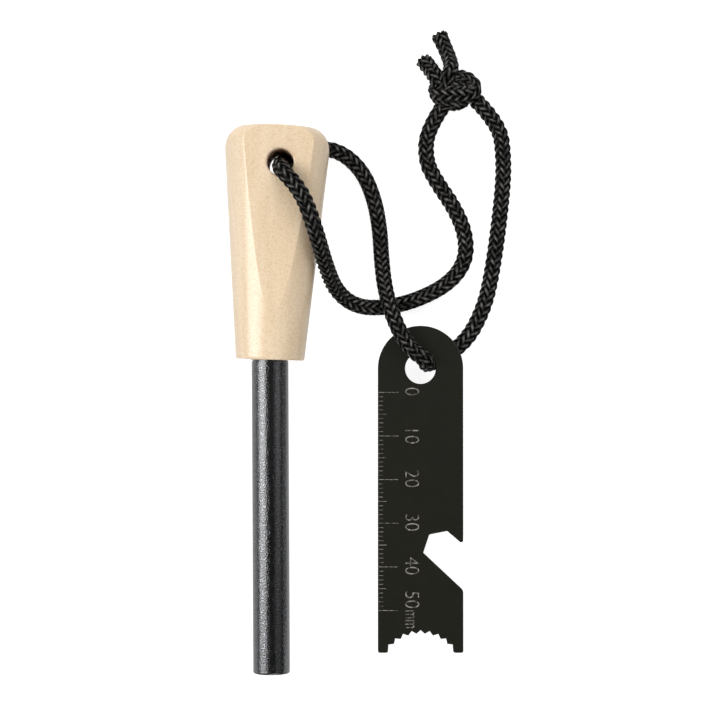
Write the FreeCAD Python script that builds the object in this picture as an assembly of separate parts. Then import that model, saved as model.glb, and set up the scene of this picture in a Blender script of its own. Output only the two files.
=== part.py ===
"""A fire starter on a cord: a wooden handle with a ferrocerium rod glued into it, and a steel striker.

Millimetres, +Z up. The set lies on a flat surface at Z = 0 and is seen from above, with +Y towards the
butt of the handle and +X towards the striker. The origin is on that surface, under the middle of the
handle, rod and striker. The tip of the rod rests on the surface and the cord passes under the butt, so
the handle and rod slope; the cord also passes under the top of the striker, so the striker slopes too.
"""

import FreeCAD, Part
import math
import os

from FreeCAD import Vector

X_AXIS, Y_AXIS, Z_AXIS = Vector(1, 0, 0), Vector(0, 1, 0), Vector(0, 0, 1)
ORIGIN = Vector(0, 0, 0)

# Cord: a braided sleeve, limp, that carries both tools
CORD_DIAMETER = 3.9
CORD_CLEARANCE = 0.3
CORD_ARC_SHARE = 0.45

# Handle: a turned cone of wood with two planed flats
HANDLE_LENGTH = 52.8
HANDLE_BUTT_RADIUS = 12.35
HANDLE_END_RADIUS = 7.8
HANDLE_THICKNESS = 18.0
HANDLE_BUTT_ROUND = 3.6
HANDLE_CORNER_ROUND = 5.3
HANDLE_END_ROUND = 0.5
HANDLE_LEAN_DEG = 1.97
HANDLE_END_X = -17.1
HANDLE_END_Y = 8.5

# Cross hole for the cord, from flat to flat near the butt
CROSS_HOLE_DIAMETER = 6.0
CROSS_HOLE_FROM_BUTT = 8.4
CROSS_HOLE_OFFSET = 1.1
CROSS_HOLE_ROUND = 0.5

# Ferrocerium rod with its black coat, and the adhesive that holds it in a blind bore
ROD_DIAMETER = 8.4
ROD_EXPOSED = 71.4
ROD_EMBEDDED = 28.6
ROD_EDGE_ROUND = 0.4
ROD_COAT = 0.2
ROD_COAT_GAP = 0.3
ROD_LEAN_DEG = 0.28
BOND_THICKNESS = 0.25

# Striker: a steel plate with a round top, a jaw in its right edge and a toothed arch in its end
PLATE_LENGTH = 75.0
PLATE_WIDTH = 19.6
PLATE_THICKNESS = 1.8
PLATE_HOLE_DIAMETER = 7.1
PLATE_FOOT_ROUND = 0.45
PLATE_HOLE_X = 17.3
PLATE_HOLE_Y = 6.9
PLATE_EDGE_CHAMFER = 0.12

# Jaw, measured down from the top of the striker and in from its middle line
JAW_HOOK_DOWN = 50.3
JAW_ROOF_DOWN = 47.1
JAW_ROOF_FROM_MIDDLE = 6.1
JAW_CORNER_DOWN = 47.9
JAW_CORNER_FROM_MIDDLE = 2.0
JAW_THROAT_DOWN = 52.1
JAW_THROAT_FROM_MIDDLE = 0.6
JAW_LIP_DOWN = 60.7
JAW_HOOK_ROUND = 0.5
JAW_INNER_ROUND = 0.35
JAW_LIP_ROUND = 1.2

# Toothed arch, about a centre below the end of the striker
ARCH_CENTRE_BELOW = 4.7
ARCH_TIP_RADIUS = 9.1
ARCH_ROOT_RADIUS = 9.9
ARCH_PITCH_DEG = 12.05
ARCH_TEETH = 8
ARCH_FOOT_HALF = 7.5

# Knot of both cord ends
KNOT_LENGTH = 12.6
KNOT_WIDTH = 9.8
KNOT_HEIGHT = 8.6
KNOT_X = 25.4
KNOT_Y = 71.9
KNOT_TURN_DEG = -8.0
TAIL_DIAMETER = 3.1

# Routes of the cord, as the corners of its runs: x, y, z
FRONT_ROUTE = [
    (-14.53, 52.4, 16.575),
    (-14.6, 51.7, 24.45),
    (-9.5, 44.9, 24.2),
    (-6.6, 36.7, 22.6),
    (-4.4, 29.5, 13.4),
    (-2.1, 24.6, 4.6),
    (2.6, 21.4, 1.95),
    (9.0, 21.1, 1.95),
    (16.5, 22.9, 1.95),
    (24.1, 26.8, 1.95),
    (28.0, 32.1, 1.95),
    (28.0, 38.2, 1.95),
    (25.5, 44.4, 1.95),
    (21.0, 51.0, 1.95),
    (18.65, 55.8, 1.95),
    (19.0, 63.0, 2.2),
    (23.1, 68.7, 3.55),
]
IN_HANDLE_ROUTE = [
    (-14.53, 52.4, 16.575),
    (-14.47, 53.0, 9.825),
]
STRIKER_ROUTE = [
    (-14.47, 53.0, 9.825),
    (-14.4, 53.7, 1.95),
    (-7.9, 58.7, 1.95),
    (-1.4, 58.1, 1.95),
    (3.9, 53.4, 1.95),
    (6.7, 46.8, 1.95),
    (8.0, 39.8, 1.95),
    (8.4, 32.6, 1.95),
    (9.1, 25.4, 4.9),
    (11.1, 17.9, 9.2),
    (16.7, 8.3, 9.2),
    (18.3, 6.7, 1.95),
    (27.3, 12.3, 1.95),
    (32.0, 20.4, 1.95),
    (34.3, 30.2, 1.95),
    (36.55, 47.4, 1.95),
    (36.95, 56.4, 1.95),
    (35.9, 64.4, 1.95),
    (30.4, 69.6, 3.6),
]
LONG_TAIL_ROUTE = [
    (24.8, 72.5, 4.4),
    (24.4, 79.3, 3.2),
    (22.1, 86.0, 1.75),
]
SHORT_TAIL_ROUTE = [
    (22.9, 72.2, 4.0),
    (20.9, 75.8, 2.8),
    (18.4, 80.0, 1.75),
]

# Slopes that let the rod's tip and the striker's end touch the surface, with the cord under the rest
ROD_RADIUS = ROD_DIAMETER / 2
FLAT_HALF = HANDLE_THICKNESS / 2
CORD_SPACE = CORD_DIAMETER + CORD_CLEARANCE
HOLE_FROM_END = HANDLE_LENGTH - CROSS_HOLE_FROM_BUTT
TIP_TO_HOLE = ROD_EXPOSED + HOLE_FROM_END
HANDLE_SLOPE = math.asin(CORD_SPACE / math.hypot(TIP_TO_HOLE, FLAT_HALF - ROD_RADIUS)) + math.atan(
    (FLAT_HALF - ROD_RADIUS) / TIP_TO_HOLE
)
HANDLE_END_Z = ROD_RADIUS * math.cos(HANDLE_SLOPE) + ROD_EXPOSED * math.sin(HANDLE_SLOPE)
HANDLE_END = Vector(HANDLE_END_X, HANDLE_END_Y, HANDLE_END_Z)
PLATE_HALF = PLATE_WIDTH / 2
HOLE_TO_FOOT = PLATE_LENGTH - PLATE_HALF
PLATE_SLOPE = math.asin(CORD_SPACE / HOLE_TO_FOOT)
PLATE_HOLE = Vector(PLATE_HOLE_X, PLATE_HOLE_Y, CORD_SPACE)


def rounded_edges(points, radii, closed):
    """Straight edges through the points, with a tangent arc of each point's radius at its corner."""
    count = len(points)
    first_out, starts, edges = None, None, []
    inner = range(count) if closed else range(1, count - 1)
    last = None if closed else points[0]
    for i in inner:
        corner = points[i]
        back = (points[i - 1] - corner).normalize()
        ahead = (points[(i + 1) % count] - corner).normalize()
        half_turn = (math.pi - back.getAngle(ahead)) / 2
        reach = radii[i] * math.tan(half_turn)
        begin, end = corner + back * reach, corner + ahead * reach
        if last is not None and (begin - last).Length > 1e-6:
            edges.append(Part.LineSegment(last, begin).toShape())
        if radii[i] > 0:
            middle = (back + ahead).normalize()
            inset = radii[i] / math.cos(half_turn) - radii[i]
            edges.append(Part.Arc(begin, corner + middle * inset, end).toShape())
        if starts is None:
            starts = begin
        last = end
    final = starts if closed else points[-1]
    if (final - last).Length > 1e-6:
        edges.append(Part.LineSegment(last, final).toShape())
    return edges


def tube(name, route, diameter):
    """A round tube along a route of straight runs, each corner an arc as large as its runs allow."""
    points = [Vector(*p) for p in route]
    radii, length = [0.0] * len(points), 0.0
    for i in range(1, len(points) - 1):
        back, ahead = points[i - 1] - points[i], points[i + 1] - points[i]
        half_turn = (math.pi - back.getAngle(ahead)) / 2
        radii[i] = CORD_ARC_SHARE * min(back.Length, ahead.Length) / math.tan(half_turn)
    wire = Part.Wire(rounded_edges(points, radii, False))
    length = wire.Length
    section = Part.Wire([Part.Circle(points[0], points[1] - points[0], diameter / 2).toShape()])
    solid = wire.makePipeShell([section], True, False)
    expected = length * math.pi * diameter**2 / 4
    tightest = min([r for r in radii if r > 0], default=0.0)
    print(
        f"{name}: length {length:.1f}, volume / (section x length) {solid.Volume / expected:.4f},"
        f" radii {' '.join(f'{r:.1f}' for r in radii[1:-1])}, tightest {tightest:.1f}"
    )
    return solid


def lay_handle(shape, lean_deg):
    """Turns a shape made about the handle's rod end from its own axes to where the handle lies."""
    shape.rotate(ORIGIN, Z_AXIS, lean_deg)
    shape.rotate(ORIGIN, X_AXIS, math.degrees(HANDLE_SLOPE))
    shape.translate(HANDLE_END)
    return shape


def lay_plate(shape):
    """Turns a shape made about the striker's hole from its own axes to where the striker lies."""
    shape.rotate(ORIGIN, X_AXIS, math.degrees(PLATE_SLOPE))
    shape.translate(PLATE_HOLE)
    return shape


def turned_body():
    """The handle's cone about +Y, from its rod end at Y = 0, with a round butt edge."""
    outline = [
        Vector(0, 0, 0),
        Vector(HANDLE_END_RADIUS, 0, 0),
        Vector(HANDLE_BUTT_RADIUS, HANDLE_LENGTH, 0),
        Vector(0, HANDLE_LENGTH, 0),
    ]
    edges = rounded_edges(outline, [0.0, HANDLE_END_ROUND, HANDLE_BUTT_ROUND, 0.0], True)
    return Part.Face(Part.Wire(edges)).revolve(ORIGIN, Y_AXIS, 360)


def front_outline():
    """The handle's outline between its flats, with round butt corners, as a slab."""
    outline = [
        Vector(-HANDLE_END_RADIUS, 0, -FLAT_HALF),
        Vector(HANDLE_END_RADIUS, 0, -FLAT_HALF),
        Vector(HANDLE_BUTT_RADIUS, HANDLE_LENGTH, -FLAT_HALF),
        Vector(-HANDLE_BUTT_RADIUS, HANDLE_LENGTH, -FLAT_HALF),
    ]
    edges = rounded_edges(outline, [0.0, 0.0, HANDLE_CORNER_ROUND, HANDLE_CORNER_ROUND], True)
    return Part.Face(Part.Wire(edges)).extrude(Vector(0, 0, HANDLE_THICKNESS))


def cross_hole():
    """The cutter for the cord's hole, with a round edge at each flat."""
    radius, reach = CROSS_HOLE_DIAMETER / 2, FLAT_HALF
    outline = [
        Vector(0, 0, -reach),
        Vector(radius + CROSS_HOLE_ROUND, 0, -reach),
        Vector(radius, 0, -reach + CROSS_HOLE_ROUND),
        Vector(radius, 0, reach - CROSS_HOLE_ROUND),
        Vector(radius + CROSS_HOLE_ROUND, 0, reach),
        Vector(0, 0, reach),
    ]
    bulge = CROSS_HOLE_ROUND * (1 - math.sqrt(0.5))
    low = Vector(radius + bulge, 0, -reach + bulge)
    high = Vector(radius + bulge, 0, reach - bulge)
    edges = [
        Part.LineSegment(outline[0], outline[1]).toShape(),
        Part.Arc(outline[1], low, outline[2]).toShape(),
        Part.LineSegment(outline[2], outline[3]).toShape(),
        Part.Arc(outline[3], high, outline[4]).toShape(),
        Part.LineSegment(outline[4], outline[5]).toShape(),
        Part.LineSegment(outline[5], outline[0]).toShape(),
    ]
    cutter = Part.Face(Part.Wire(edges)).revolve(ORIGIN, Z_AXIS, 360)
    cutter.translate(Vector(CROSS_HOLE_OFFSET, HOLE_FROM_END, 0))
    return cutter


def rod_bore():
    """The cutter for the rod's blind bore, which follows the rod and not the handle's own axis."""
    radius, depth = ROD_RADIUS + BOND_THICKNESS, ROD_EMBEDDED + BOND_THICKNESS
    bore = Part.makeCylinder(radius, depth + ROD_DIAMETER, Vector(0, -ROD_DIAMETER, 0), Y_AXIS)
    bore.rotate(ORIGIN, Z_AXIS, ROD_LEAN_DEG + HANDLE_LEAN_DEG)
    return bore


def handle():
    body = turned_body().common(front_outline())
    body = body.cut(cross_hole()).cut(rod_bore())
    return lay_handle(body, -HANDLE_LEAN_DEG)


def ferro_rod():
    """The rod: coated where it shows, bare and so a little thinner from just before the handle."""
    coated = Part.makeCylinder(ROD_RADIUS, ROD_EXPOSED - ROD_COAT_GAP, Vector(0, -ROD_EXPOSED, 0), Y_AXIS)
    bare = Part.makeCylinder(ROD_RADIUS - ROD_COAT, ROD_EMBEDDED + ROD_COAT_GAP, Vector(0, -ROD_COAT_GAP, 0), Y_AXIS)
    rod = coated.fuse(bare)
    tip = [e for e in rod.Edges if isinstance(e.Curve, Part.Circle) and e.Curve.Center.y < -ROD_EXPOSED / 2]
    return lay_handle(rod.makeFillet(ROD_EDGE_ROUND, tip), ROD_LEAN_DEG)


def bond_sleeve():
    """The cured adhesive round the embedded length of the rod and behind its end."""
    radius = ROD_RADIUS + BOND_THICKNESS
    outside = Part.makeCylinder(radius, ROD_EMBEDDED + BOND_THICKNESS, ORIGIN, Y_AXIS)
    inside = Part.makeCylinder(ROD_RADIUS - ROD_COAT, ROD_EMBEDDED, ORIGIN, Y_AXIS)
    return lay_handle(outside.cut(inside), ROD_LEAN_DEG)


def arch_points():
    """The toothed arch from its right foot to its left, roots and tips by turns about its centre."""
    centre = Vector(0, -HOLE_TO_FOOT - ARCH_CENTRE_BELOW, 0)
    points = []
    for step in range(2 * ARCH_TEETH + 1):
        angle = math.radians(ARCH_PITCH_DEG * (ARCH_TEETH - step) / 2)
        radius = ARCH_TIP_RADIUS if step % 2 else ARCH_ROOT_RADIUS
        points.append(centre + Vector(math.sin(angle), math.cos(angle), 0) * radius)
    return points


def plate_outline():
    """The striker's outline about its hole, clockwise from its top left, and each corner's radius."""
    top, foot = PLATE_HALF, -HOLE_TO_FOOT
    corners = [
        (-PLATE_HALF, top, PLATE_HALF),
        (PLATE_HALF, top, PLATE_HALF),
        (PLATE_HALF, top - JAW_HOOK_DOWN, JAW_HOOK_ROUND),
        (JAW_ROOF_FROM_MIDDLE, top - JAW_ROOF_DOWN, JAW_INNER_ROUND),
        (JAW_CORNER_FROM_MIDDLE, top - JAW_CORNER_DOWN, JAW_INNER_ROUND),
        (JAW_THROAT_FROM_MIDDLE, top - JAW_THROAT_DOWN, JAW_INNER_ROUND),
        (PLATE_HALF, top - JAW_LIP_DOWN, JAW_LIP_ROUND),
        (PLATE_HALF, foot, PLATE_FOOT_ROUND),
        (ARCH_FOOT_HALF, foot, PLATE_FOOT_ROUND),
    ]
    points = [Vector(x, y, 0) for x, y, _ in corners] + arch_points()
    radii = [r for _, _, r in corners] + [0.0] * (2 * ARCH_TEETH + 1)
    points += [Vector(-ARCH_FOOT_HALF, foot, 0), Vector(-PLATE_HALF, foot, 0)]
    return points, radii + [PLATE_FOOT_ROUND, PLATE_FOOT_ROUND]


def striker_plate():
    points, radii = plate_outline()
    outline = Part.Face(Part.Wire(rounded_edges(points, radii, True)))
    blank = outline.extrude(Vector(0, 0, PLATE_THICKNESS))
    hole = Part.makeCylinder(PLATE_HOLE_DIAMETER / 2, PLATE_THICKNESS)
    plate = blank.cut(hole)
    rims = [e for e in plate.Edges if e.BoundBox.ZLength < PLATE_THICKNESS / 2]
    return lay_plate(plate.makeChamfer(PLATE_EDGE_CHAMFER, rims))


def cord_knot():
    """The drawn-up knot, as the rounded lump that its turns fill."""
    core = Part.makeSphere(KNOT_HEIGHT / 2)
    stretch = FreeCAD.Matrix()
    stretch.scale(KNOT_LENGTH / KNOT_HEIGHT, KNOT_WIDTH / KNOT_HEIGHT, 1)
    core = core.transformGeometry(stretch)
    core.rotate(ORIGIN, Z_AXIS, KNOT_TURN_DEG)
    core.translate(Vector(KNOT_X, KNOT_Y, KNOT_HEIGHT / 2))
    return core


def main():
    os.makedirs("parts", exist_ok=True)
    knot = cord_knot()
    nodes = {
        "handle": handle(),
        "ferro_rod": ferro_rod(),
        "bond_sleeve": bond_sleeve(),
        "striker_plate": striker_plate(),
        "cord_front_strand": tube("cord_front_strand", FRONT_ROUTE, CORD_DIAMETER).cut(knot),
        "cord_in_handle": tube("cord_in_handle", IN_HANDLE_ROUTE, CORD_DIAMETER),
        "cord_striker_strand": tube("cord_striker_strand", STRIKER_ROUTE, CORD_DIAMETER).cut(knot),
        "cord_knot": knot,
        "cord_long_tail": tube("cord_long_tail", LONG_TAIL_ROUTE, TAIL_DIAMETER).cut(knot),
        "cord_short_tail": tube("cord_short_tail", SHORT_TAIL_ROUTE, TAIL_DIAMETER).cut(knot),
    }
    for name, shape in nodes.items():
        box = shape.optimalBoundingBox(False, False)
        print(
            f"{name}: valid {shape.isValid()}, {len(shape.Solids)} solid, {shape.Volume:.0f} mm3, x {box.XMin:.2f}"
            f" to {box.XMax:.2f}, y {box.YMin:.2f} to {box.YMax:.2f}, z {box.ZMin:.2f} to {box.ZMax:.2f}"
        )
        shape.exportStep(f"parts/{name}.step")
    print(f"handle slope {math.degrees(HANDLE_SLOPE):.3f} deg, striker slope {math.degrees(PLATE_SLOPE):.3f} deg")


main()
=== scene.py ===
"""Looks for a fire starter on a cord: beech handle, black-coated rod, blackened steel striker, black braid.

Metres, in the part's own frame: +Z up from the surface that the set lies on, +Y towards the butt of the
handle, +X towards the striker.
"""

import math

import bmesh
import bpy
import numpy as np
from mathutils import Matrix, Vector


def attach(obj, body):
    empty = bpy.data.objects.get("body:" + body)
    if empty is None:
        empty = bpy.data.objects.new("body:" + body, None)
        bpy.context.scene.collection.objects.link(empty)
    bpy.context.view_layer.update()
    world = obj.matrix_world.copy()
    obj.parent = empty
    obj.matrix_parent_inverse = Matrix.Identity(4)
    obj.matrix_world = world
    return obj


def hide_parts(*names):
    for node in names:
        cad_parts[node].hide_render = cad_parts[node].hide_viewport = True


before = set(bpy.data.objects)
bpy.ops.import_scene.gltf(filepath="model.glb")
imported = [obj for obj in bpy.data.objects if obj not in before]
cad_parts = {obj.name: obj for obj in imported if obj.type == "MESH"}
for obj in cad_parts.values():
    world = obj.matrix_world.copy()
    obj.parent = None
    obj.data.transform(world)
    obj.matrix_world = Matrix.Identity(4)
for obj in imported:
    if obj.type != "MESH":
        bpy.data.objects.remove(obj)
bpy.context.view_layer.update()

MM = 0.001
MERGE_GAP = 0.002 * MM
FINE_MERGE_GAP = 0.001 * MM

# Camera
VIEW_TILT = math.radians(4.5)
VIEW_AIM = Vector((0.0034, 0.0088, 0.005))
VIEW_DISTANCE = 0.5
VIEW_LENS_MM = 108.65
VIEW_SENSOR_MM = 36

# Cord: a braided sleeve of strands that go round in a given length, half of them each way
CORD_DIAMETER = 3.9 * MM
CORD_CORE_RADIUS = 1.5 * MM
CORD_CORE_ROUNDNESS = 4
CORD_CURVE_STEPS = 24
STRANDS_EACH_WAY = 8
BRAID_TURN = 14.4 * MM
BRAID_STEP = 0.3 * MM
BRAID_PHASE = 0.5
STRAND_WIDTH = 0.94 * MM
STRAND_THICKNESS = 0.84 * MM
STRAND_WEAVE = 0.27 * MM
STRAND_SIDES = 8
FIBRE_SHIFT_MM = 7.3
LONG_TAIL_HALF = 1.9 * MM
LONG_TAIL_FLARE = 0.16
SHORT_TAIL_HALF = 2.0 * MM
SHORT_TAIL_FLARE = 0.05

# Routes of the cord
FRONT_ROUTE = [
    (-0.0145, 0.0519, 0.016575),
    (-0.0149, 0.0508, 0.0242),
    (-0.0095, 0.0449, 0.0242),
    (-0.0066, 0.0367, 0.0226),
    (-0.0044, 0.0295, 0.0134),
    (-0.0021, 0.0246, 0.0046),
    (0.0026, 0.0214, 0.00195),
    (0.0090, 0.0211, 0.00195),
    (0.0165, 0.0229, 0.00195),
    (0.0241, 0.0268, 0.00195),
    (0.0280, 0.0321, 0.00195),
    (0.0280, 0.0382, 0.00195),
    (0.0255, 0.0444, 0.00195),
    (0.0210, 0.0510, 0.00195),
    (0.01865, 0.0558, 0.00195),
    (0.0190, 0.0630, 0.0022),
    (0.0231, 0.0687, 0.00355),
]
IN_HANDLE_ROUTE = [
    (-0.0145, 0.0519, 0.016575),
    (-0.0147, 0.0527, 0.0132),
    (-0.0147, 0.0536, 0.009825),
]
STRIKER_ROUTE = [
    (-0.0147, 0.0536, 0.009825),
    (-0.0144, 0.0547, 0.00195),
    (-0.0079, 0.0587, 0.00195),
    (-0.0014, 0.0581, 0.00195),
    (0.0039, 0.0534, 0.00195),
    (0.0067, 0.0468, 0.00195),
    (0.0080, 0.0398, 0.00195),
    (0.0084, 0.0326, 0.00195),
    (0.0091, 0.0254, 0.0049),
    (0.0110, 0.0180, 0.0090),
    (0.0144, 0.0112, 0.0093),
    (0.0187, 0.0085, 0.0088),
    (0.0186, 0.0075, 0.00195),
    (0.0273, 0.0123, 0.00195),
    (0.0320, 0.0204, 0.00195),
    (0.0343, 0.0302, 0.00195),
    (0.03655, 0.0474, 0.00195),
    (0.03695, 0.0564, 0.00195),
    (0.0359, 0.0644, 0.00195),
    (0.0304, 0.0696, 0.0036),
]
LONG_TAIL_ROUTE = [
    (0.0232, 0.0714, 0.0058),
    (0.0233, 0.0738, 0.0082),
    (0.0247, 0.0763, 0.0064),
    (0.0243, 0.0797, 0.0036),
    (0.0220, 0.0853, 0.0021),
]
SHORT_TAIL_ROUTE = [
    (0.0222, 0.0722, 0.0066),
    (0.0210, 0.0745, 0.0058),
    (0.0202, 0.0763, 0.0040),
    (0.0183, 0.0793, 0.0021),
]

# Knot: flattened turns of the cord on a lump with these half sizes
KNOT_CENTRE = Vector((0.0254, 0.0719, 0.0043))
KNOT_HALF = Vector((5.1 * MM, 3.7 * MM, 3.15 * MM))
KNOT_TURN_HALF_HIGH = 1.15 * MM
LOBE_HALF_WIDE = 2.4 * MM
WRAP_HALF_WIDE = 1.9 * MM
UNDERSIDE_HALF_WIDE = 2.05 * MM
HEART_HALF_HIGH = 2.6 * MM
HEART_HALF_WIDE = 3.2 * MM

# Routes of the knot's turns: the way round from +X and the rise, in degrees, and how far out on the lump
LOBE_ROUTE = [
    (110, 10, 0.8),
    (84, 30, 1.0),
    (58, 30, 1.06),
    (26, 26, 1.08),
    (-10, 28, 1.06),
    (-42, 44, 1.04),
    (-90, 58, 1.02),
    (-140, 44, 1.06),
    (-166, 0, 1.08),
    (-160, -40, 1.05),
    (-60, -60, 1.0),
    (-20, -30, 0.9),
]
WRAP_ROUTE = [
    (-150, -62, 0.9),
    (172, -35, 1.0),
    (176, 5, 1.04),
    (160, 42, 0.98),
    (112, 66, 0.9),
    (55, 58, 0.86),
    (20, 30, 0.7),
]
UNDERSIDE_ROUTE = [
    (60, 10, 0.8),
    (58, -20, 1.04),
    (80, -52, 1.04),
    (150, -60, 1.04),
    (-165, -30, 1.0),
    (-120, 6, 1.05),
    (-95, 20, 1.12),
    (-72, 0, 1.1),
    (-60, -30, 0.9),
]
HEART_ROUTE = [
    (178, 0, 0.85),
    (90, 20, 0.2),
    (0, 0, 0.85),
]

# Handle: a turned cone of wood with two planed flats
HANDLE_LENGTH = 52.8 * MM
HANDLE_BUTT_RADIUS = 12.35 * MM
HANDLE_END_RADIUS = 7.8 * MM
HANDLE_FLAT_HALF = 9.0 * MM
HANDLE_FLAT_TAPER = 0.0085
TOP_FLAT_ROLL = math.radians(4.0)
HANDLE_BUTT_ROUND = 3.6 * MM
HANDLE_CORNER_ROUND = 5.3 * MM
HANDLE_CORNER_INSET = 1.09
HANDLE_END_ROUND = 0.5 * MM
HANDLE_RIDGE_ROUND = 0.5 * MM
HANDLE_RIDGE_MARGIN = 0.05 * MM
HANDLE_LEAN = math.radians(1.97)
HANDLE_SLOPE = math.radians(4.4504)
HANDLE_END = Vector((-0.0171, 0.0085, 0.0097276))
CROSS_HOLE_RADIUS = 3.0 * MM
CROSS_HOLE_ROUND = 0.5 * MM
CROSS_HOLE_FROM_END = 44.4 * MM
CROSS_HOLE_OFFSET = 1.1 * MM
HOLE_WALL_MARGIN = 0.1 * MM
HOLE_WALL_DOWN = 0.3 * MM
BORE_RADIUS = 4.45 * MM
BORE_DEPTH = 28.85 * MM
ROD_LEAN = math.radians(0.28)
HOLE_OVERRUN = 1.0 * MM
BORE_OVERRUN = 5.0 * MM

# How finely the handle is drawn, the first as steps in a quarter of its section
QUARTER_STEPS = 72
RIDGE_START_SHARE = 40 / QUARTER_STEPS
RIDGE_END_SHARE = 48 / QUARTER_STEPS
END_ROUND_STEPS = 6
SIDE_STEPS = 120
BUTT_ROUND_STEPS = 24
BUTT_STEPS = 24
HOLE_ROUND_STEPS = 6
HOLE_STEPS = 96
SHARP_ANGLE = math.radians(32)

# Ruler on the striker, measured from the middle line and down from the striker's top
PLATE_SLOPE = math.radians(3.6934)
PLATE_HOLE = Vector((0.0173, 0.0069, 0.0042))
PLATE_HALF = 9.8 * MM
PLATE_THICKNESS = 1.8 * MM
RULER_ZERO_DOWN = 15.3 * MM
RULER_LENGTH_MM = 50
MARK_HEIGHT = 0.02 * MM
MARK_WIDTH = 0.13 * MM
TICK_GAP = 0.15 * MM
TEN_TICK = 4.7 * MM
FIVE_TICK = 2.0 * MM
ONE_TICK = 1.2 * MM
NUMBER_HEIGHT = 3.45 * MM
NUMBER_HEIGHT_SHARE = 0.72
NUMBER_THINNING = 0.085 * MM
NUMBER_SQUEEZE = 0.88
NUMBER_LIFT = 0.2
LAST_NUMBER_MARK = 47.5
UNIT_MARK = 52.0
UNIT_SQUEEZE = 0.6
NUMBER_MIDDLE = -2.12 * MM

# Depth of each finish's fine relief
WOOD_RELIEF = 0.03 * MM
HOLE_RELIEF = 0.08 * MM
ROD_RELIEF = 0.07 * MM
STEEL_RELIEF = 0.01 * MM
BRAID_RELIEF = 0.04 * MM

# Floor and light
FLOOR_HALF = 2.0
FLOOR_DROP = 0.02 * MM
FLOOR_GREY = 0.45
FLOOR_SEEN = 0.88
FLOOR_MIRRORED = 0.5
SKY_START = -0.2
SKY_FULL = -0.06
SKY_LEVEL = 0.17
LAMP_DISTANCE = 1.0
KEY_LAMP_LENGTH = 0.56
FILL_LAMP_LENGTH = 0.9


def link(piece):
    bpy.context.collection.objects.link(piece)
    return piece


def piece_from(work, name):
    """A new object from a bmesh, at the origin."""
    mesh = bpy.data.meshes.new(name)
    work.to_mesh(mesh)
    work.free()
    return link(bpy.data.objects.new(name, mesh))


def fill(node, values):
    """Sets a node's sockets by their names."""
    for name, value in values.items():
        node.inputs[name].default_value = value


# Finishes

class Finish:
    """A material, with short ways to add nodes to it and to join them."""

    def __init__(self, name):
        self.material = bpy.data.materials.new(name)
        self.material.use_nodes = True
        self.tree = self.material.node_tree
        self.shader = self.tree.nodes["Principled BSDF"]

    def add(self, kind, **values):
        """A new node, with its own settings or its sockets set."""
        node = self.tree.nodes.new(kind)
        for key, value in values.items():
            if hasattr(node, key):
                setattr(node, key, value)
            else:
                node.inputs[key].default_value = value
        return node

    def join(self, output, node, socket):
        self.tree.links.new(output, node.inputs[socket])

    def where(self, kind):
        """A piece's own places, as Object or UV."""
        return self.add("ShaderNodeTexCoord").outputs[kind]

    def stretched(self, place, **values):
        """The same places, turned and scaled."""
        node = self.add("ShaderNodeMapping", **values)
        self.join(place, node, "Vector")
        return node.outputs["Vector"]

    def noise(self, place, scale, detail, roughness=0.5):
        node = self.add("ShaderNodeTexNoise", Scale=scale, Detail=detail, Roughness=roughness)
        self.join(place, node, "Vector")
        return node.outputs["Fac"]

    def tint(self, level, *stops):
        """A colour for each level, by stops that are each a place and a colour."""
        node = self.add("ShaderNodeValToRGB")
        ramp = node.color_ramp
        while len(ramp.elements) < len(stops):
            ramp.elements.new(0.5)
        for element, (place, colour) in zip(ramp.elements, stops):
            element.position = place
            element.color = (*colour, 1)
        self.join(level, node, "Fac")
        return node.outputs["Color"]

    def times(self, first, second):
        """One colour multiplied by another."""
        node = self.add("ShaderNodeMix", data_type="RGBA", blend_type="MULTIPLY", Factor=1.0)
        self.join(first, node, 6)
        self.join(second, node, 7)
        return node.outputs[2]

    def spread(self, level, start, end, low, high):
        """A level that goes from low to high between a start and an end."""
        node = self.add("ShaderNodeMapRange")
        fill(node, {"From Min": start, "From Max": end, "To Min": low, "To Max": high})
        self.join(level, node, "Value")
        return node.outputs["Result"]

    def paint(self, colour):
        self.join(colour, self.shader, "Base Color")

    def relief(self, level, strength, depth):
        """A fine relief of the surface, by a noise."""
        node = self.add("ShaderNodeBump", Strength=strength, Distance=depth)
        self.join(level, node, "Height")
        self.join(node.outputs["Normal"], self.shader, "Normal")


def beech_wood():
    """Wood with short dark flecks and faint rings along the handle, under a thin varnish."""
    wood = Finish("pale_beech")
    place = wood.where("Object")
    along = wood.stretched(place, Rotation=(0, 0, HANDLE_LEAN), Scale=(1, 0.05, 1))
    flecks = wood.noise(place, scale=2300, detail=2, roughness=0.6)
    rings = wood.noise(along, scale=430, detail=3, roughness=0.55)
    fleck_colour = wood.tint(
        flecks, (0.32, (0.79, 0.585, 0.38)), (0.5, (0.875, 0.695, 0.482)), (0.7, (0.905, 0.735, 0.522))
    )
    ring_colour = wood.tint(rings, (0.38, (0.955, 0.925, 0.885)), (0.62, (1, 1, 1)))
    wood.paint(wood.times(fleck_colour, ring_colour))
    wood.relief(flecks, strength=0.3, depth=WOOD_RELIEF)
    fill(wood.shader, {"Roughness": 0.5, "Coat Weight": 0.65, "Coat Roughness": 0.25, "Coat IOR": 1.75})
    return wood.material


def hole_wood():
    """The wood of the drilled hole's wall, painted paler than the wall's own colour as painted light, since
    the lamps barely reach into the hole.
    """
    wood = Finish("drilled_wood")
    rings = wood.noise(wood.where("Object"), scale=1500, detail=3)
    # These pale colours are painted light on a wall that is mostly in shade
    wood.paint(wood.tint(rings, (0.35, (0.92, 0.64, 0.47)), (0.65, (0.95, 0.74, 0.56))))
    wood.relief(rings, strength=0.5, depth=HOLE_RELIEF)
    fill(wood.shader, {"Roughness": 0.75})
    return wood.material


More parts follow.
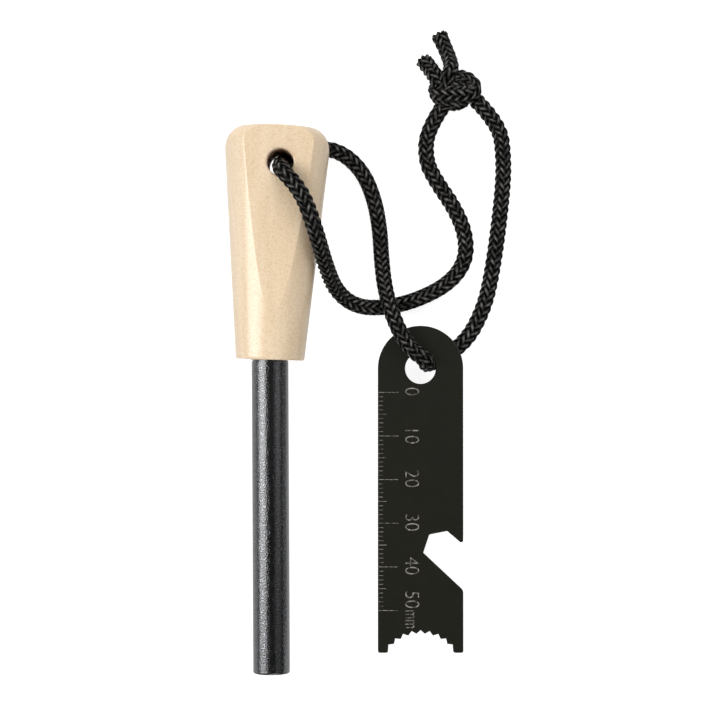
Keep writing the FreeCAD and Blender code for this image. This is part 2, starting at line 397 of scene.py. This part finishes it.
def rod_coat():
    """A black coat, with the bright metal of the rod through it in fine grains."""
    coat = Finish("black_rod_coat")
    grain = coat.noise(coat.where("Object"), scale=3100, detail=1, roughness=0.6)
    coat.paint(coat.tint(grain, (0.5, (0.0005, 0.0005, 0.0005)), (0.64, (0.2, 0.206, 0.22))))
    coat.join(coat.spread(grain, start=0.5, end=0.53, low=0, high=1), coat.shader, "Metallic")
    coat.join(coat.spread(grain, start=0, end=1, low=0.08, high=0.2), coat.shader, "Roughness")
    coat.relief(grain, strength=1, depth=ROD_RELIEF)
    fill(coat.shader, {"IOR": 2.0})
    return coat.material


def black_steel():
    """Blackened steel, a little uneven in its colour."""
    steel = Finish("blackened_steel")
    place = steel.where("Object")
    cloud = steel.noise(place, scale=260, detail=4, roughness=0.6)
    steel.paint(steel.tint(cloud, (0.3, (0.0061, 0.0059, 0.0024)), (0.7, (0.008, 0.0078, 0.004))))
    steel.relief(steel.noise(place, scale=6000, detail=2), strength=0.25, depth=STEEL_RELIEF)
    fill(steel.shader, {"Roughness": 0.3, "IOR": 1.6})
    return steel.material


def etched_mark():
    """The ruler's broken grey lines."""
    mark = Finish("etched_mark")
    grain = mark.noise(mark.where("Object"), scale=1500, detail=3)
    mark.paint(mark.tint(grain, (0.38, (0.04, 0.034, 0.026)), (0.62, (0.30, 0.28, 0.245))))
    fill(mark.shader, {"Roughness": 0.55})
    return mark.material


def cured_adhesive():
    glue = Finish("cured_adhesive")
    cloud = glue.noise(glue.where("Object"), scale=700, detail=2)
    glue.paint(glue.tint(cloud, (0.3, (0.38, 0.29, 0.15)), (0.7, (0.5, 0.4, 0.23))))
    fill(glue.shader, {"Roughness": 0.35})
    return glue.material


def black_braid():
    """Black strands of fine fibres in random darker patches, with a painted highlight grey along the middle
    of each strand's top, painted shade at its edges, and painted shade where it dives under the others.
    """
    cord = Finish("black_braid")
    strand = cord.where("UV")
    fibres = cord.noise(cord.stretched(strand, Scale=(22, 0.55, 1)), scale=1, detail=3, roughness=0.65)
    wear = cord.noise(cord.where("Object"), scale=950, detail=1)
    crest = cord.add("ShaderNodeAttribute", attribute_name="crest").outputs["Fac"]
    split = cord.add("ShaderNodeSeparateXYZ")
    cord.join(strand, split, "Vector")
    black = (0.0005, 0.0005, 0.0005)
    # Painted highlight along the middle of each strand's top, fading to painted shade at its edges
    colour = cord.tint(split.outputs["X"], (0.1, black), (0.25, (0.33, 0.319, 0.3)), (0.4, black))
    colour = cord.times(colour, cord.tint(wear, (0.38, (0.25, 0.25, 0.25)), (0.62, (1, 1, 1))))
    colour = cord.times(colour, cord.tint(fibres, (0.35, (0.15, 0.15, 0.155)), (0.65, (1, 1, 1))))
    # Painted shade where the strand dives under the others, full colour where it lies on top
    painted_weave_shade = cord.tint(crest, (0.45, (0.06, 0.06, 0.06)), (0.8, (0.4, 0.4, 0.4)), (1.0, (1, 1, 1)))
    cord.paint(cord.times(colour, painted_weave_shade))
    cord.relief(fibres, strength=0.6, depth=BRAID_RELIEF)
    fill(cord.shader, {"Roughness": 0.4, "Specular IOR Level": 0.05})
    return cord.material


def white_floor():
    """White to the camera and in reflections, and plain matt white to the light."""
    white = Finish("white_floor")
    fill(white.shader, {
        "Base Color": (FLOOR_GREY, FLOOR_GREY, FLOOR_GREY, 1),
        "Roughness": 1.0,
        "Specular IOR Level": 0.0,
        "Emission Color": (1, 1, 1, 1),
    })
    ray = white.add("ShaderNodeLightPath").outputs
    seen = white.add("ShaderNodeMath", operation="MAXIMUM")
    white.join(ray["Is Camera Ray"], seen, 0)
    white.join(ray["Is Transmission Ray"], seen, 1)
    clear = white.add("ShaderNodeMath", operation="MULTIPLY")
    clear.inputs[1].default_value = FLOOR_SEEN
    white.join(seen.outputs["Value"], clear, 0)
    level = white.add("ShaderNodeMath", operation="MULTIPLY_ADD")
    level.inputs[1].default_value = FLOOR_MIRRORED
    white.join(ray["Is Glossy Ray"], level, 0)
    white.join(clear.outputs["Value"], level, 2)
    white.join(level.outputs["Value"], white.shader, "Emission Strength")
    return white.material


FINISHES = {
    "handle_wood": beech_wood(),
    "rod_coat": rod_coat(),
    "adhesive": cured_adhesive(),
    "blackened_steel": black_steel(),
    "braided_cord": black_braid(),
}


# Camera

camera = link(bpy.data.objects.new("camera", bpy.data.cameras.new("camera")))
camera.data.sensor_width = VIEW_SENSOR_MM
camera.data.lens = VIEW_LENS_MM
camera.rotation_euler = (VIEW_TILT, 0, 0)
camera.location = VIEW_AIM + VIEW_DISTANCE * Vector((0, -math.sin(VIEW_TILT), math.cos(VIEW_TILT)))
bpy.context.scene.camera = camera


# Cord

def cord_core(name, route):
    """The filling of the sleeve as a smooth curve, and the points of its line."""
    curve = bpy.data.curves.new(name, "CURVE")
    curve.dimensions = "3D"
    curve.resolution_u = CORD_CURVE_STEPS
    spline = curve.splines.new("NURBS")
    spline.points.add(len(route) - 1)
    for point, place in zip(spline.points, route):
        point.co = (*place, 1)
    spline.order_u = 3
    spline.use_endpoint_u = True
    core = link(bpy.data.objects.new(name, curve))
    line = bpy.data.meshes.new_from_object(core)
    points = np.array([v.co[:] for v in line.vertices])
    bpy.data.meshes.remove(line)
    curve.bevel_depth = CORD_CORE_RADIUS
    curve.bevel_resolution = CORD_CORE_ROUNDNESS
    curve.use_fill_caps = True
    return core, points


def line_points(route):
    """The points of the smooth line through a route, with no piece left behind."""
    core, points = cord_core("line", route)
    curve = core.data
    bpy.data.objects.remove(core)
    bpy.data.curves.remove(curve)
    return points


def unit(rows):
    return rows / np.linalg.norm(rows, axis=1, keepdims=True)


def even_line(points):
    """The same line at even steps, with how far along each point is."""
    runs = np.linalg.norm(np.diff(points, axis=0), axis=1)
    along = np.concatenate(([0], np.cumsum(runs)))
    marks = np.linspace(0, along[-1], max(3, round(along[-1] / BRAID_STEP) + 1))
    places = np.stack([np.interp(marks, along, points[:, k]) for k in range(3)], axis=1)
    return places, marks


def rolling_sides(places, first_up):
    """Directions square to the line that turn as little as they can along it."""
    ahead = unit(np.gradient(places, axis=0))
    ups = np.empty_like(ahead)
    up = np.array(first_up, float)
    for i, direction in enumerate(ahead):
        up = up - direction * (up @ direction)
        up /= np.linalg.norm(up)
        ups[i] = up
    return ups, np.cross(ahead, ups)


def strand_grids(name, count):
    """A mesh with a flat grid for each strand, to be bent into place."""
    work = bmesh.new()
    for _ in range(2 * STRANDS_EACH_WAY):
        bmesh.ops.create_grid(work, x_segments=STRAND_SIDES, y_segments=count - 1, size=1)
    mesh = bpy.data.meshes.new(name)
    work.to_mesh(mesh)
    work.free()
    return mesh


def close_strands(mesh):
    """Joins each strand's two edges, closes its ends and smooths it."""
    work = bmesh.new()
    work.from_mesh(mesh)
    bmesh.ops.remove_doubles(work, verts=work.verts, dist=FINE_MERGE_GAP)
    bmesh.ops.holes_fill(work, edges=work.edges, sides=STRAND_SIDES)
    bmesh.ops.recalc_face_normals(work, faces=work.faces)
    for face in work.faces:
        face.smooth = True
    work.to_mesh(mesh)
    work.free()


def braid(name, places, marks, ups, sides, half_high, half_wide, flare=0.0):
    """A sleeve of strands in a two over, two under weave about a line."""
    count, ring = len(marks), STRAND_SIDES + 1
    mesh = strand_grids(name, count)
    rounds = marks / BRAID_TURN
    inset = STRAND_THICKNESS / 2 + STRAND_WEAVE
    spread = 1 + flare * np.clip(1 - (marks[-1] - marks) / CORD_DIAMETER, 0, 1) ** 2
    high, wide = (half_high - inset) * spread, (half_wide - inset) * spread
    corners = np.linspace(0, 2 * math.pi, ring)
    shells, crests = [], []
    for strand in range(2 * STRANDS_EACH_WAY):
        way = 1 if strand < STRANDS_EACH_WAY else -1
        own = strand % STRANDS_EACH_WAY
        angle = 2 * math.pi * own / STRANDS_EACH_WAY + way * 2 * math.pi * rounds
        crossings = 2 * own + way * 2 * STRANDS_EACH_WAY * rounds
        weave = way * np.cos(math.pi / 2 * (crossings - BRAID_PHASE))
        lift = STRAND_WEAVE * weave
        middle = (
            places
            + sides * ((wide + lift) * np.cos(angle))[:, None]
            + ups * ((high + lift) * np.sin(angle))[:, None]
        )
        out = unit(sides * (np.cos(angle) * high)[:, None] + ups * (np.sin(angle) * wide)[:, None])
        ahead = unit(np.gradient(middle, axis=0))
        out = unit(out - ahead * np.sum(out * ahead, axis=1, keepdims=True))
        across = np.cross(out, ahead)
        shell = (
            middle[:, None, :]
            + across[:, None, :] * (STRAND_WIDTH / 2 * np.cos(corners))[None, :, None]
            + out[:, None, :] * (STRAND_THICKNESS / 2 * np.sin(corners))[None, :, None]
        )
        shells.append(shell.reshape(-1, 3))
        # How high the strand lies in the weave, 0 under the others and 1 on top, for the finish's painted
        # shade
        crests.append(np.repeat((1 + weave) / 2, ring).astype(np.float32))
    mesh.vertices.foreach_set("co", np.concatenate(shells).ravel())
    corner = np.empty(len(mesh.loops), np.int32)
    mesh.loops.foreach_get("vertex_index", corner)
    across_share = corner % ring / STRAND_SIDES
    along_mm = marks[corner // ring % count] / MM + corner // (ring * count) * FIBRE_SHIFT_MM
    strand_uv = mesh.uv_layers.new(name="strand")
    strand_uv.data.foreach_set("uv", np.stack((across_share, along_mm), axis=1).ravel())
    crest = mesh.attributes.new("crest", "FLOAT", "POINT")
    crest.data.foreach_set("value", np.concatenate(crests))
    close_strands(mesh)
    return link(bpy.data.objects.new(name, mesh))


def round_braid(name, points, half=CORD_DIAMETER / 2, first_up=(0, 0, 1), flare=0.0):
    places, marks = even_line(points)
    ups, sides = rolling_sides(places, first_up)
    return braid(name, places, marks, ups, sides, half, half, flare)


def dress_cord(piece, *nodes):
    """Gives a piece of the cord its finish, its body and the nodes that it stands for."""
    piece.data.materials.append(FINISHES["braided_cord"])
    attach(piece, "lanyard")
    if nodes:
        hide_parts(*nodes)
    return piece


front_core, front_points = cord_core("cord_front_core", FRONT_ROUTE)
striker_core, striker_points = cord_core("cord_striker_core", STRIKER_ROUTE)
dress_cord(front_core)
dress_cord(striker_core)

front_braid = round_braid("cord_front_braid", front_points, first_up=(0, 1, 0))
striker_braid = round_braid("cord_striker_braid", striker_points, first_up=(0, 1, 0))
handle_braid = round_braid("cord_in_handle_braid", line_points(IN_HANDLE_ROUTE), first_up=(0, 1, 0))
long_tail = round_braid(
    "cord_long_tail_braid", line_points(LONG_TAIL_ROUTE), LONG_TAIL_HALF, flare=LONG_TAIL_FLARE
)
short_tail = round_braid(
    "cord_short_tail_braid", line_points(SHORT_TAIL_ROUTE), SHORT_TAIL_HALF, flare=SHORT_TAIL_FLARE
)
dress_cord(front_braid, "cord_front_strand")
dress_cord(striker_braid, "cord_striker_strand")
dress_cord(handle_braid, "cord_in_handle")
dress_cord(long_tail, "cord_long_tail")
dress_cord(short_tail, "cord_short_tail")


# Knot

def on_knot(way_deg, rise_deg, out):
    """A place on the knot's lump, by its way round from +X, its rise and how far out it lies, as a share."""
    way, rise = math.radians(way_deg), math.radians(rise_deg)
    return KNOT_CENTRE + out * Vector(
        (
            KNOT_HALF.x * math.cos(rise) * math.cos(way),
            KNOT_HALF.y * math.cos(rise) * math.sin(way),
            KNOT_HALF.z * math.sin(rise),
        )
    )


def knot_points(route):
    """The points of the smooth line through a route on the lump."""
    return line_points([tuple(on_knot(*place)) for place in route])


def knot_turn(name, route, half_wide):
    """A flattened turn of the cord that lies on the knot's lump."""
    places, marks = even_line(knot_points(route))
    ahead = unit(np.gradient(places, axis=0))
    out = (places - np.array(KNOT_CENTRE)) / np.array(KNOT_HALF) ** 2
    ups = unit(out - ahead * np.sum(out * ahead, axis=1, keepdims=True))
    return braid(name, places, marks, ups, np.cross(ahead, ups), KNOT_TURN_HALF_HIGH, half_wide)


def knot_heart():
    """The thick turn inside the knot."""
    places, marks = even_line(knot_points(HEART_ROUTE))
    ups, sides = rolling_sides(places, (0, 0, 1))
    return braid("knot_heart", places, marks, ups, sides, HEART_HALF_HIGH, HEART_HALF_WIDE)


knot_turns = [
    knot_turn("knot_lobe", LOBE_ROUTE, LOBE_HALF_WIDE),
    knot_turn("knot_wrap", WRAP_ROUTE, WRAP_HALF_WIDE),
    knot_turn("knot_underside", UNDERSIDE_ROUTE, UNDERSIDE_HALF_WIDE),
    knot_heart(),
]
dress_cord(knot_turns[0], "cord_knot")
for turn in knot_turns[1:]:
    dress_cord(turn)


# Handle

def spin_up(work, points, axis, steps):
    """Turns an outline of points about an axis into a surface."""
    corners = [work.verts.new(p) for p in points]
    for a, b in zip(corners, corners[1:]):
        work.edges.new((a, b))
    outline = work.verts[:] + work.edges[:]
    bmesh.ops.spin(
        work, geom=outline, cent=(0, 0, 0), axis=axis, angle=2 * math.pi, steps=steps, use_merge=True
    )
    bmesh.ops.remove_doubles(work, verts=work.verts, dist=MERGE_GAP)


def corner_arc(corner, back, ahead, radius, steps):
    """A round of an outline's corner, between the way back along it and the way ahead."""
    half_turn = (math.pi - back.angle(ahead)) / 2
    middle = (back + ahead).normalized()
    centre = corner + middle * radius / math.cos(half_turn)
    start = corner + back * radius * math.tan(half_turn) - centre
    return [centre + Matrix.Rotation(2 * half_turn * k / steps, 3, "Z") @ start for k in range(steps + 1)]


def handle_outline():
    """The handle's half outline in X and Y as a line of points, round at its two corners."""
    slant = Vector((HANDLE_BUTT_RADIUS - HANDLE_END_RADIUS, HANDLE_LENGTH, 0)).normalized()
    inward = Vector((-1, 0, 0))
    end_corner = Vector((HANDLE_END_RADIUS, 0, 0))
    butt_corner = Vector((HANDLE_BUTT_RADIUS, HANDLE_LENGTH, 0))
    end_round = corner_arc(end_corner, inward, slant, HANDLE_END_ROUND, END_ROUND_STEPS)
    butt_round = corner_arc(butt_corner, -slant, inward, HANDLE_BUTT_ROUND, BUTT_ROUND_STEPS)
    side = [end_round[-1].lerp(butt_round[0], k / SIDE_STEPS) for k in range(1, SIDE_STEPS)]
    butt_middle = Vector((0, HANDLE_LENGTH, 0))
    butt = [butt_round[-1].lerp(butt_middle, k / BUTT_STEPS) for k in range(1, BUTT_STEPS + 1)]
    return [Vector((0, 0, 0)), *end_round, *side, *butt_round, *butt]


def section_place(share, radius, flat_half):
    """Where a quarter of the handle's section lies, from its side (share 0) to the middle of its flat (1).

    The section is a round one cut off by the flat, with a small round ridge between them.
    """
    if radius <= flat_half:
        angle = math.pi / 2 * min(1.0, share / RIDGE_END_SHARE)
        return radius * math.cos(angle), radius * math.sin(angle)
    ridge_x = math.sqrt(radius**2 - flat_half**2)
    ridge_angle = math.asin(flat_half / radius)
    ridge_run = HANDLE_RIDGE_ROUND * math.tan((math.pi / 2 - ridge_angle) / 2)
    reach = min(ridge_run + HANDLE_RIDGE_MARGIN, ridge_x / 2)
    low_angle = ridge_angle - reach / radius
    if share <= RIDGE_START_SHARE:
        angle = low_angle * share / RIDGE_START_SHARE
        return radius * math.cos(angle), radius * math.sin(angle)
    if share < RIDGE_END_SHARE:
        t = (share - RIDGE_START_SHARE) / (RIDGE_END_SHARE - RIDGE_START_SHARE)
        low = Vector((radius * math.cos(low_angle), radius * math.sin(low_angle)))
        ridge, flat = Vector((ridge_x, flat_half)), Vector((ridge_x - reach, flat_half))
        return tuple(low * (1 - t) ** 2 + ridge * 2 * t * (1 - t) + flat * t**2)
    t = (share - RIDGE_END_SHARE) / (1 - RIDGE_END_SHARE)
    return (ridge_x - reach) * (1 - t), flat_half


def handle_blank():
    """The turned cone, planed to its two flats and rounded at the butt's corners."""
    work = bmesh.new()
    spin_up(work, handle_outline(), (0, 1, 0), 4 * QUARTER_STEPS)
    corner_x = HANDLE_BUTT_RADIUS - HANDLE_CORNER_ROUND * HANDLE_CORNER_INSET
    corner_y = HANDLE_LENGTH - HANDLE_CORNER_ROUND
    for vertex in work.verts:
        x, y, z = vertex.co
        share = math.atan2(abs(z), abs(x)) / (math.pi / 2)
        flat_half = HANDLE_FLAT_HALF + (y - CROSS_HOLE_FROM_END) * HANDLE_FLAT_TAPER
        place = section_place(round(share * QUARTER_STEPS) / QUARTER_STEPS, math.hypot(x, z), flat_half)
        x, z = math.copysign(place[0], x), math.copysign(place[1], z)
        over = Vector((abs(x) - corner_x, y - corner_y))
        if over.x > 0 and over.y > 0 and over.length > HANDLE_CORNER_ROUND:
            over = over.normalized() * HANDLE_CORNER_ROUND
            x, y = math.copysign(corner_x + over.x, x), corner_y + over.y
        if z > 0:
            roll = TOP_FLAT_ROLL * min(1.0, share / RIDGE_START_SHARE)
            x, z = x * math.cos(roll) + z * math.sin(roll), z * math.cos(roll) - x * math.sin(roll)
        vertex.co = (x, y, z)
    bmesh.ops.remove_doubles(work, verts=work.verts, dist=MERGE_GAP)
    bmesh.ops.dissolve_degenerate(work, edges=work.edges, dist=FINE_MERGE_GAP)
    bmesh.ops.recalc_face_normals(work, faces=work.faces)
    return piece_from(work, "handle_body")


def cross_hole_cutter():
    """The cord's hole, with a round edge at each flat."""
    radius, round_edge, half = CROSS_HOLE_RADIUS, CROSS_HOLE_ROUND, HANDLE_FLAT_HALF
    outline = [
        (0, -half - HOLE_OVERRUN),
        (radius + round_edge, -half - HOLE_OVERRUN),
        (radius + round_edge, -half),
    ]
    for k in range(1, HOLE_ROUND_STEPS + 1):
        t = math.pi / 2 / HOLE_ROUND_STEPS * k
        outline.append((radius + round_edge * (1 - math.sin(t)), -half + round_edge * (1 - math.cos(t))))
    outline += [(r, -z) for r, z in reversed(outline)]
    work = bmesh.new()
    spin_up(work, [(r, 0, z) for r, z in outline], (0, 0, 1), HOLE_STEPS)
    bmesh.ops.recalc_face_normals(work, faces=work.faces)
    bmesh.ops.translate(work, verts=work.verts, vec=(CROSS_HOLE_OFFSET, CROSS_HOLE_FROM_END, 0))
    for vertex in work.verts:
        if vertex.co.z > 0:
            vertex.co.z -= vertex.co.x * math.tan(TOP_FLAT_ROLL)
    return piece_from(work, "cross_hole_cutter")


def bore_cutter():
    """The rod's blind bore, which follows the rod and not the handle's own axis."""
    work = bmesh.new()
    deep = BORE_DEPTH + BORE_OVERRUN
    along_handle = Matrix.Rotation(math.radians(-90), 3, "X")
    along_rod = Matrix.Rotation(ROD_LEAN + HANDLE_LEAN, 3, "Z")
    bmesh.ops.create_cone(
        work, cap_ends=True, segments=HOLE_STEPS, radius1=BORE_RADIUS, radius2=BORE_RADIUS, depth=deep
    )
    bmesh.ops.rotate(work, verts=work.verts, cent=(0, 0, 0), matrix=along_handle)
    bmesh.ops.translate(work, verts=work.verts, vec=(0, deep / 2 - BORE_OVERRUN, 0))
    bmesh.ops.rotate(work, verts=work.verts, cent=(0, 0, 0), matrix=along_rod)
    return piece_from(work, "bore_cutter")


def in_cross_hole(place):
    """Whether a place on the handle is on the wall of its cross hole."""
    from_axis = (place - Vector((CROSS_HOLE_OFFSET, CROSS_HOLE_FROM_END, 0))).xy.length
    below_flats = abs(place.z) < HANDLE_FLAT_HALF - HOLE_WALL_DOWN
    return below_flats and from_axis < CROSS_HOLE_RADIUS + HOLE_WALL_MARGIN


def cut_handle():
    """The finished handle where it lies, with its hole and bore cut."""
    handle = handle_blank()
    cutters = [cross_hole_cutter(), bore_cutter()]
    for cutter in cutters:
        cut = handle.modifiers.new(cutter.name, "BOOLEAN")
        cut.operation = "DIFFERENCE"
        cut.solver = "EXACT"
        cut.object = cutter
    mesh = bpy.data.meshes.new_from_object(handle.evaluated_get(bpy.context.evaluated_depsgraph_get()))
    handle.modifiers.clear()
    handle.data = mesh
    for cutter in cutters:
        bpy.data.objects.remove(cutter)
    mesh.materials.clear()
    mesh.materials.append(FINISHES["handle_wood"])
    mesh.materials.append(hole_wood())
    for face in mesh.polygons:
        face.use_smooth = True
        face.material_index = int(in_cross_hole(face.center))
    mesh.set_sharp_from_angle(angle=SHARP_ANGLE)
    mesh.transform(Matrix.Rotation(-HANDLE_LEAN, 4, "Z"))
    mesh.transform(Matrix.Rotation(HANDLE_SLOPE, 4, "X"))
    mesh.transform(Matrix.Translation(HANDLE_END))
    weigh = handle.modifiers.new("even_normals", "WEIGHTED_NORMAL")
    weigh.keep_sharp = True
    return handle


handle = cut_handle()
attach(handle, "fire_rod")
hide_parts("handle")


# Rod, adhesive and striker keep their own shapes

for node, slot in (
    ("ferro_rod", "rod_coat"),
    ("bond_sleeve", "adhesive"),
    ("striker_plate", "blackened_steel"),
):
    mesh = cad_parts[node].data
    mesh.materials.clear()
    mesh.materials.append(FINISHES[slot])


# Ruler

def ruler_place(across, mark):
    """A place on the striker's face, about its hole, at a mark of the ruler in millimetres."""
    return across, PLATE_HALF - RULER_ZERO_DOWN - mark * MM, PLATE_THICKNESS + MARK_HEIGHT / 2


def ruler_ticks():
    work = bmesh.new()
    for mark in range(RULER_LENGTH_MM + 1):
        reach = TEN_TICK if mark % 10 == 0 else FIVE_TICK if mark % 5 == 0 else ONE_TICK
        length = reach - TICK_GAP
        tick = bmesh.ops.create_cube(work, size=1)["verts"]
        bmesh.ops.scale(work, verts=tick, vec=(length, MARK_WIDTH, MARK_HEIGHT))
        bmesh.ops.translate(work, verts=tick, vec=ruler_place(-PLATE_HALF + TICK_GAP + length / 2, mark))
    return piece_from(work, "ruler_ticks")


def ruler_number(words, mark, squeeze=NUMBER_SQUEEZE):
    """A number that reads down the striker, centred on its mark."""
    name = f"ruler_number_{words}"
    text = bpy.data.curves.new(name, "FONT")
    text.body = words
    text.size = NUMBER_HEIGHT / NUMBER_HEIGHT_SHARE
    text.align_x = "CENTER"
    text.align_y = "CENTER"
    text.extrude = MARK_HEIGHT / 2
    text.offset = -NUMBER_THINNING
    writing = link(bpy.data.objects.new(name, text))
    bpy.context.view_layer.update()
    mesh = bpy.data.meshes.new_from_object(writing)
    bpy.data.objects.remove(writing)
    mesh.transform(Matrix.Diagonal((squeeze, 1, 1, 1)))
    mesh.transform(Matrix.Rotation(math.radians(-90), 4, "Z"))
    mesh.transform(Matrix.Translation(ruler_place(NUMBER_MIDDLE, mark)))
    return link(bpy.data.objects.new(name, mesh))


mark_finish = etched_mark()
ruler = [ruler_ticks()]
for mark in range(0, RULER_LENGTH_MM, 10):
    ruler.append(ruler_number(str(mark), mark - NUMBER_LIFT))
ruler.append(ruler_number(str(RULER_LENGTH_MM), LAST_NUMBER_MARK))
ruler.append(ruler_number("mm", UNIT_MARK, UNIT_SQUEEZE))
for piece in ruler:
    piece.data.transform(Matrix.Rotation(PLATE_SLOPE, 4, "X"))
    piece.data.transform(Matrix.Translation(PLATE_HOLE))
    piece.data.materials.clear()
    piece.data.materials.append(mark_finish)
    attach(piece, "striker")


# Floor and light

work = bmesh.new()
bmesh.ops.create_grid(work, x_segments=1, y_segments=1, size=FLOOR_HALF)
bmesh.ops.translate(work, verts=work.verts, vec=(0, 0, -FLOOR_DROP))
floor = piece_from(work, "floor")
floor.data.materials.append(white_floor())


def soft_sky():
    """A white sky, dark towards the rod's tip and at its full level from about overhead to the butt."""
    world = bpy.data.worlds.new("studio")
    world.use_nodes = True
    nodes, links = world.node_tree.nodes, world.node_tree.links
    sky = nodes["Background"]
    place = nodes.new("ShaderNodeTexCoord")
    split = nodes.new("ShaderNodeSeparateXYZ")
    level = nodes.new("ShaderNodeMapRange")
    fill(sky, {"Color": (1, 1, 1, 1)})
    fill(level, {"From Min": SKY_START, "From Max": SKY_FULL, "To Min": 0.0, "To Max": SKY_LEVEL})
    links.new(place.outputs["Generated"], split.inputs["Vector"])
    links.new(split.outputs["Y"], level.inputs["Value"])
    links.new(level.outputs["Result"], sky.inputs["Strength"])
    return world


def soft_lamp(name, lean_deg, turn_deg, span_deg, length, level):
    """A soft box that shines on the set from a lean off the vertical and a turn round from +X.

    The span is how much of the sky it takes up from top to bottom, and the level is its brightness.
    """
    lamp = bpy.data.lights.new(name, "AREA")
    lamp.shape = "RECTANGLE"
    lamp.size = 2 * LAMP_DISTANCE * math.tan(math.radians(span_deg / 2))
    lamp.size_y = length
    lamp.energy = level * math.pi * lamp.size * lamp.size_y
    turn = Matrix.Rotation(math.radians(turn_deg), 4, "Z")
    lean = Matrix.Rotation(math.radians(lean_deg), 4, "Y")
    piece = link(bpy.data.objects.new(name, lamp))
    piece.matrix_world = turn @ lean @ Matrix.Translation((0, 0, LAMP_DISTANCE))


bpy.context.scene.world = soft_sky()
soft_lamp("key_lamp", lean_deg=50.5, turn_deg=180, span_deg=45, length=KEY_LAMP_LENGTH, level=4.9)
soft_lamp("side_lamp", lean_deg=48, turn_deg=20, span_deg=34, length=FILL_LAMP_LENGTH, level=0.75)
soft_lamp("upper_lamp", lean_deg=55, turn_deg=78, span_deg=40, length=FILL_LAMP_LENGTH, level=2.7)
soft_lamp("lower_lamp", lean_deg=56, turn_deg=-78, span_deg=38, length=FILL_LAMP_LENGTH, level=2.8)
bpy.context.scene.view_settings.view_transform = "Standard"
